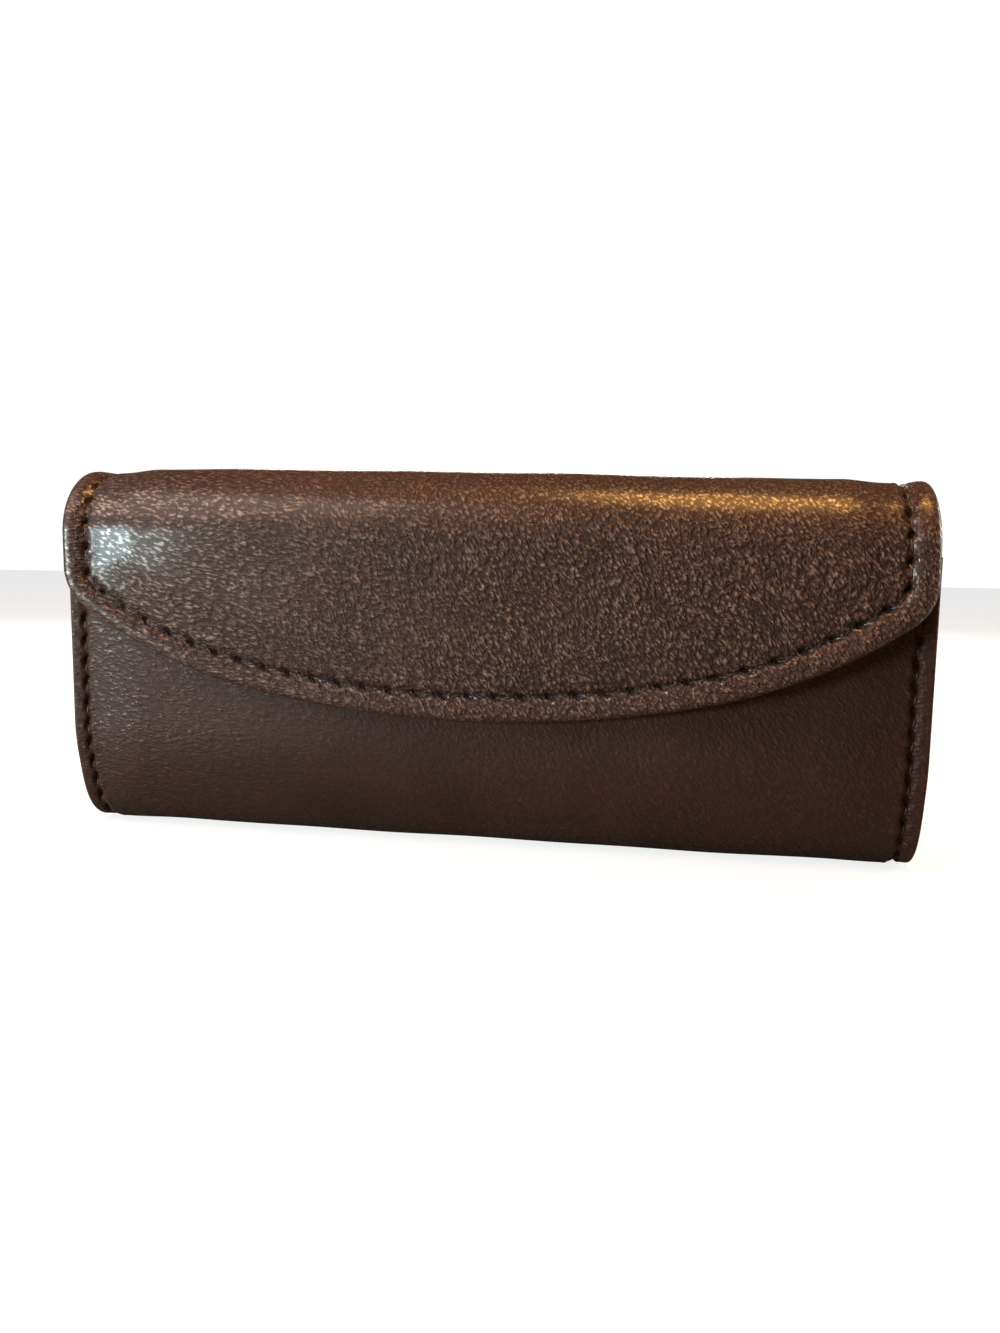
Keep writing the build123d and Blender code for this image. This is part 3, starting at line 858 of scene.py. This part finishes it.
close_stops = ((0.0004, 0.00013), (0.0016, 0.0002), (0.0066, 0.00030))
flap_flat = flap_grid(0, *flap_shares(close_stops, 0.00056, 0.00047))
skin_depth, flap_inset, flap_tags = flap_skin(flap_flat)
inner_depth = flap_back_depth - edge_round(flap_inset, 0.0009) - flap_lean(flap_flat)
inner_depth = np.maximum(inner_depth, skin_depth + 0.0004)
flap_leather = closed_sheet("flap_leather", on_flap(flap_flat, skin_depth),
                            on_flap(flap_flat, inner_depth), flap_tags, open_rows=(True, False))


def settled(piece):
    """The piece's mesh with its modifiers carried out, which the piece then keeps without them."""
    bpy.context.view_layer.update()
    made = bpy.data.meshes.new_from_object(
        piece.evaluated_get(bpy.context.evaluated_depsgraph_get()))
    piece.modifiers.clear()
    piece.data = made
    return made


# The hidden under side needs few faces.
under_side = flap_leather.vertex_groups.new(name="under_side")
point_count = skin_depth.size
under_side.add(list(range(point_count, 2 * point_count)), 1.0, "REPLACE")
thinning = flap_leather.modifiers.new("thinning", "DECIMATE")
thinning.ratio = 0.62
thinning.vertex_group = "under_side"
settled(flap_leather)
flap_leather.vertex_groups.clear()

flap_leather.data.materials.append(case_hide)
bend_at_fold(flap_leather)
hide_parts("flap_top_leather", "flap_top_padding", "flap_end_fillers",
            "flap_front_leather", "flap_front_padding", "flap_edge_filler")

# ---- Flap lining -------------------------------------------------------------------------------
# The same microfibre on the underside of the flap, set just inside the turned edge and caught by
# the topstitching.
flap_lining_inset = 0.0012
flap_lining_depths = (0.00228, 0.00288)
stitch_pull, stitch_pull_width = 0.00016, 0.0008
lining_stops = ((0.0010, 0.0003), (0.0060, 0.0008))
lining_flat = flap_grid(flap_lining_inset, *flap_shares(lining_stops, 0.0012, 0.0016))
lining_across = beside_path(lining_flat.reshape(-1, 2), stitch_path)[1]
lining_across = lining_across.reshape(lining_flat.shape[:2])
pulled = stitch_pull * np.exp(-((lining_across / stitch_pull_width) ** 2))
lining_lean = flap_lean(lining_flat)
flap_lining = closed_sheet("flap_lining_cloth",
                           on_flap(lining_flat, flap_lining_depths[0] - lining_lean),
                           on_flap(lining_flat, flap_lining_depths[1] - lining_lean - pulled),
                           open_rows=(True, False))
flap_lining.data.materials.append(lining_finish)
bend_at_fold(flap_lining)
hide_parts("flap_top_lining", "flap_front_lining")

# ---- Stitching ---------------------------------------------------------------------------------
# Waxed dark brown thread, one short arc per stitch. Each arc dips into the leather at both ends and
# lies in the scallop between two holes.
stitch_tree = bpy.data.node_groups.new("thread_row", "GeometryNodeTree")
stitch_tree.interface.new_socket("Geometry", in_out="INPUT", socket_type="NodeSocketGeometry")
for socket in ("Stitch Length", "Thread Width", "Rise", "Sink"):
    stitch_tree.interface.new_socket(socket, in_out="INPUT", socket_type="NodeSocketFloat")
stitch_tree.interface.new_socket("Thread", in_out="INPUT", socket_type="NodeSocketMaterial")
stitch_tree.interface.new_socket("Geometry", in_out="OUTPUT", socket_type="NodeSocketGeometry")
tree = stitch_tree
given = add_node(tree, "NodeGroupInput")


def spot(x, z):
    """A point of the arc of thread."""
    return add_node(tree, "ShaderNodeCombineXYZ", {"X": x, "Z": z}).outputs[0]


half_stitch = reckon(tree, "MULTIPLY", given.outputs["Stitch Length"], 0.5)
dip = reckon(tree, "MULTIPLY", given.outputs["Sink"], -1)
crown = reckon(tree, "ADD", reckon(tree, "MULTIPLY", given.outputs["Rise"], 2),
               given.outputs["Sink"])
arc = add_node(tree, "GeometryNodeCurveQuadraticBezier", {
    "Resolution": 7,
    "Start": spot(reckon(tree, "MULTIPLY", half_stitch, -1), dip),
    "Middle": spot(0.0, crown),
    "End": spot(half_stitch, dip),
})
ring = add_node(tree, "GeometryNodeCurvePrimitiveCircle", {
    "Resolution": 6, "Radius": reckon(tree, "MULTIPLY", given.outputs["Thread Width"], 0.5)})
thread_arc = add_node(tree, "GeometryNodeCurveToMesh", {
    "Curve": arc.outputs["Curve"], "Profile Curve": ring.outputs["Curve"], "Fill Caps": True})
along_row = add_node(tree, "GeometryNodeInputNamedAttribute", {"Name": "along_row"},
                     data_type="FLOAT_VECTOR").outputs["Attribute"]
outward_row = add_node(tree, "GeometryNodeInputNamedAttribute", {"Name": "outward_row"},
                       data_type="FLOAT_VECTOR").outputs["Attribute"]
facing_way = add_node(tree, "FunctionNodeAxesToRotation",
                      {"Primary Axis": along_row, "Secondary Axis": outward_row},
                      primary_axis="X", secondary_axis="Z")
uneven = add_node(tree, "FunctionNodeRandomValue", {"Seed": 4}, data_type="FLOAT_VECTOR")
uneven.inputs["Min"].default_value = (0.93, 0.88, 0.9)
uneven.inputs["Max"].default_value = (1.05, 1.12, 1.1)
points = add_node(tree, "GeometryNodeMeshToPoints", {"Mesh": given.outputs["Geometry"]})
placed = add_node(tree, "GeometryNodeInstanceOnPoints", {
    "Points": points.outputs[0], "Instance": thread_arc.outputs["Mesh"],
    "Rotation": facing_way.outputs[0], "Scale": uneven.outputs["Value"]})
real = add_node(tree, "GeometryNodeRealizeInstances", {"Geometry": placed.outputs[0]})
painted = add_node(tree, "GeometryNodeSetMaterial",
                   {"Geometry": real.outputs[0], "Material": given.outputs["Thread"]})
add_node(tree, "NodeGroupOutput", {"Geometry": painted.outputs[0]})

thread_finish, tree, shader = finish_of("waxed_thread")
twist = add_node(tree, "ShaderNodeTexNoise",
                 {"Vector": turned_and_stretched(tree, own_place(tree), (0, 38, 0), (3, 1, 1)),
                  "Scale": 5200, "Detail": 2})
tree.links.new(blended(tree, twist.outputs["Fac"], (0.010, 0.005, 0.004), (0.040, 0.020, 0.014)),
               shader.inputs["Base Color"])
tree.links.new(between(tree, twist.outputs["Fac"], 0.42, 0.62), shader.inputs["Roughness"])
raise_nap(tree, shader, twist.outputs["Fac"], 0.00006)


def thread_row(name, places, along, outward, sizes):
    """One mesh of stitches, from the middle of each, its direction and the way out of the leather."""
    mesh = bpy.data.meshes.new(name)
    mesh.from_pydata(places.tolist(), [], [])
    for tag, values in (("along_row", along), ("outward_row", outward)):
        mesh.attributes.new(tag, "FLOAT_VECTOR", "POINT").data.foreach_set("vector", values.ravel())
    row = put_out(name, mesh)
    sewing = row.modifiers.new("sewing", "NODES")
    sewing.node_group = stitch_tree
    values = dict(zip(("Stitch Length", "Thread Width", "Rise", "Sink", "Thread"),
                      (*sizes, thread_finish)))
    for item in stitch_tree.interface.items_tree:
        if item.in_out == "INPUT" and item.name in values:
            sewing[item.identifier] = values[item.name]
    sewn = settled(row)
    sewn.polygons.foreach_set("use_smooth", np.ones(len(sewn.polygons), bool))
    return row


def laid_on_hide(flat, depth):
    """Points on the hide, the direction of the path and the way out, for stitches along a path that
    is given laid flat as x and distance."""
    step = np.gradient(flat, axis=0)
    step /= np.linalg.norm(step, axis=1)[:, None]
    outward = follow(flat[:, 1])[1]
    forward = np.stack([-outward[:, 1], outward[:, 0]], -1)
    along = np.stack([step[:, 0], step[:, 1] * forward[:, 0], step[:, 1] * forward[:, 1]], -1)
    out = np.stack([np.zeros(len(flat)), outward[:, 0], outward[:, 1]], -1)
    return on_flap(flat, depth), along, out


def tilted(along, out, angle):
    """Directions along a row, each turned on the surface by an angle."""
    inside = np.cross(out, along)
    return along * math.cos(angle) + inside * math.sin(angle)


# Each row's stitch length, thread width, rise and sink.
thread_lie = math.radians(8)
seen_share, under_share = 0.56, 0.86
seam_sizes = (seam_pitch * seen_share, 0.00030, 0.00006, 0.00075)
flap_sizes = (flap_pitch * seen_share, 0.00034, 0.00006, 0.00085)
under_sizes = (flap_pitch * under_share, 0.00040, 0.00010, 0.0004)
mouth_sizes = (0.0026, 0.00034, 0.00012, 0.0004)
seam_thread_depth, mouth_thread_depth = 0.00050, 0.00002


def seam_rows(name, first, last):
    """Stitches of both end seams from one stitch to another."""
    at = seam_start + (np.arange(first, last) + 0.5) * seam_pitch
    found = []
    for side in (-1, 1):
        flat = np.stack([side * (half_length - seam_line(at)), at], -1)
        depth = seam_thread_depth - fullness(flat[:, 0], at)
        places, along, out = laid_on_hide(flat, depth)
        found.append((places, tilted(along, out, thread_lie * -side), out))
    return thread_row(name, *(np.concatenate(parts) for parts in zip(*found)), seam_sizes)


last_on_pouch = int((under_split - seam_start) / seam_pitch)
front_seams = seam_rows("front_seam_stitches", 0, last_on_pouch)
back_seams = seam_rows("back_seam_stitches", last_on_pouch, seam_count)
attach(front_seams, "pouch")
bend_at_hinge(back_seams)
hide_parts("left_front_seam", "right_front_seam")
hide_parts("left_back_seam", "right_back_seam")

flap_at = (np.arange(flap_stitch_count) + 0.5) * flap_pitch
flap_stitch_flat = along_path(stitch_path, flap_at)
flap_stitch_depth = flap_skin(flap_stitch_flat[:, None, :])[0][:, 0]
places, along, out = laid_on_hide(flap_stitch_flat, flap_stitch_depth)
flap_stitches = thread_row("flap_stitches", places, tilted(along, out, thread_lie), out, flap_sizes)
under_depth = flap_lining_depths[1] - 0.0001 - flap_lean(flap_stitch_flat)
places, along, out = laid_on_hide(flap_stitch_flat, under_depth)
under_stitches = thread_row("flap_under_stitches", places, along, -out, under_sizes)
for row in (flap_stitches, under_stitches):
    bend_at_fold(row)
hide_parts("flap_top_stitching", "flap_front_stitching")

mouth_row_drop, mouth_row_reach, mouth_stitch_count = 0.0030, 0.0745, 44
mouth_at = np.linspace(-mouth_row_reach, mouth_row_reach, mouth_stitch_count)
mouth_flat = np.stack([mouth_at, np.full(mouth_at.shape, mouth_row_drop)], -1)
mouth_depth = mouth_thread_depth - fullness(mouth_at, mouth_flat[:, 1])
mouth_stitches = thread_row("mouth_stitches", *laid_on_hide(mouth_flat, mouth_depth), mouth_sizes)
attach(mouth_stitches, "pouch")
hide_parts("mouth_stitching")

# ---- Closure -----------------------------------------------------------------------------------
# A thin magnet sewn inside the flap pulls on a steel plate behind the leather of the front wall.
# Both are nickel plated and brushed, and both are glued in before the cloth covers them.
steel_finish, tree, shader = finish_of("brushed_steel")
brushed = add_node(tree, "ShaderNodeTexNoise",
                   {"Vector": turned_and_stretched(tree, own_place(tree), (0, 0, 0), (12, 1, 1)),
                    "Scale": 4000, "Detail": 3})
tree.links.new(blended(tree, brushed.outputs["Fac"], (0.42, 0.42, 0.43), (0.62, 0.62, 0.63)),
               shader.inputs["Base Color"])
shader.inputs["Metallic"].default_value = 1.0
tree.links.new(between(tree, brushed.outputs["Fac"], 0.28, 0.46), shader.inputs["Roughness"])
for name in ("strike_plate", "flap_magnet"):
    node = frame["nodes"][name]
    node.data.materials.clear()
    node.data.materials.append(steel_finish)

# ---- Camera and light --------------------------------------------------------------------------
# The finished case stands on a plain pale floor with a white surround. A soft window and a low cool
# one light it from the left, a warm lamp from above, and soft fills from the right and the back.
floor_reach, floor_z = 2, -0.0002
floor_mesh = bpy.data.meshes.new("floor")
floor_corners = [(x * floor_reach, y * floor_reach, floor_z)
                 for x, y in ((-1, -1), (1, -1), (1, 1), (-1, 1))]
floor_mesh.from_pydata(floor_corners, [], [(0, 1, 2, 3)])
floor = put_out("floor", floor_mesh)
floor_paint, tree, shader = finish_of("floor_paint")
seen = add_node(tree, "ShaderNodeLightPath").outputs["Is Camera Ray"]
shader.inputs["Base Color"].default_value = (0.26, 0.26, 0.26, 1)
shader.inputs["Emission Color"].default_value = (1, 1, 1, 1)
tree.links.new(between(tree, seen, 0.0, 0.80), shader.inputs["Emission Strength"])
shader.inputs["Roughness"].default_value = 0.9
floor_mesh.materials.append(floor_paint)

world = bpy.data.worlds.new("studio")
world.use_nodes = True
bpy.context.scene.world = world
tree = world.node_tree
surround = tree.nodes["Background"]
seen = add_node(tree, "ShaderNodeLightPath").outputs["Is Camera Ray"]
tree.links.new(between(tree, seen, 0.03, 1.05), surround.inputs["Strength"])
surround.inputs["Color"].default_value = (1, 1, 1, 1)


middle_z, studio_radius = 0.04, 0.6


def soft_light(name, azimuth, elevation, size, power, colour):
    """A rectangular light aimed at the middle of the case, at angles round it in degrees."""
    turn, rise = math.radians(azimuth), math.radians(elevation)
    place = studio_radius * Vector((math.sin(turn) * math.cos(rise), -math.cos(turn) * math.cos(rise),
                                    math.sin(rise)))
    data = bpy.data.lights.new(name, "AREA")
    data.shape = "RECTANGLE"
    data.size, data.size_y = size
    data.energy = power
    data.color = colour
    lamp = put_out(name, data)
    lamp.location = place + Vector((0, 0, middle_z))
    lamp.rotation_euler = (-place).to_track_quat("-Z", "Y").to_euler()


soft_light("window_light", -48, 42, (0.36, 0.36), 3.7, (1.0, 0.78, 0.65))
soft_light("sheen_light", -47, 5, (0.17, 0.10), 4.4, (0.80, 1.0, 1.02))
soft_light("warm_light", 50, 78, (0.22, 0.22), 4.6, (1.0, 0.48, 0.12))
soft_light("side_fill", 112, 14, (0.30, 0.20), 2.2, (1.0, 0.80, 0.62))
soft_light("back_fill", 190, 12, (0.40, 0.20), 4.5, (1.0, 0.92, 0.84))

camera_data = bpy.data.cameras.new("camera")
camera = put_out("camera", camera_data)
image_height, focal_length = 1333, 966
yaw, pitch, roll = (math.radians(angle) for angle in (9.33, 6.70, 0.83))
target = np.array([0.00329, flap_y + 0.01828, 0.03576])
reach = 0.19924
backward = np.array([math.sin(yaw) * math.cos(pitch), -math.cos(yaw) * math.cos(pitch),
                     math.sin(pitch)])
level = np.array([math.cos(yaw), math.sin(yaw), 0])
upward = np.cross(backward, level)
sideways = level * math.cos(roll) + upward * math.sin(roll)
upright = upward * math.cos(roll) - level * math.sin(roll)
pose = Matrix(np.stack([sideways, upright, backward], 1).tolist()).to_4x4()
camera.matrix_world = Matrix.Translation((target + backward * reach).tolist()) @ pose
camera_data.sensor_width = 36
camera_data.lens = focal_length * camera_data.sensor_width / image_height
bpy.context.scene.camera = camera
bpy.context.scene.view_settings.view_transform = "Standard"
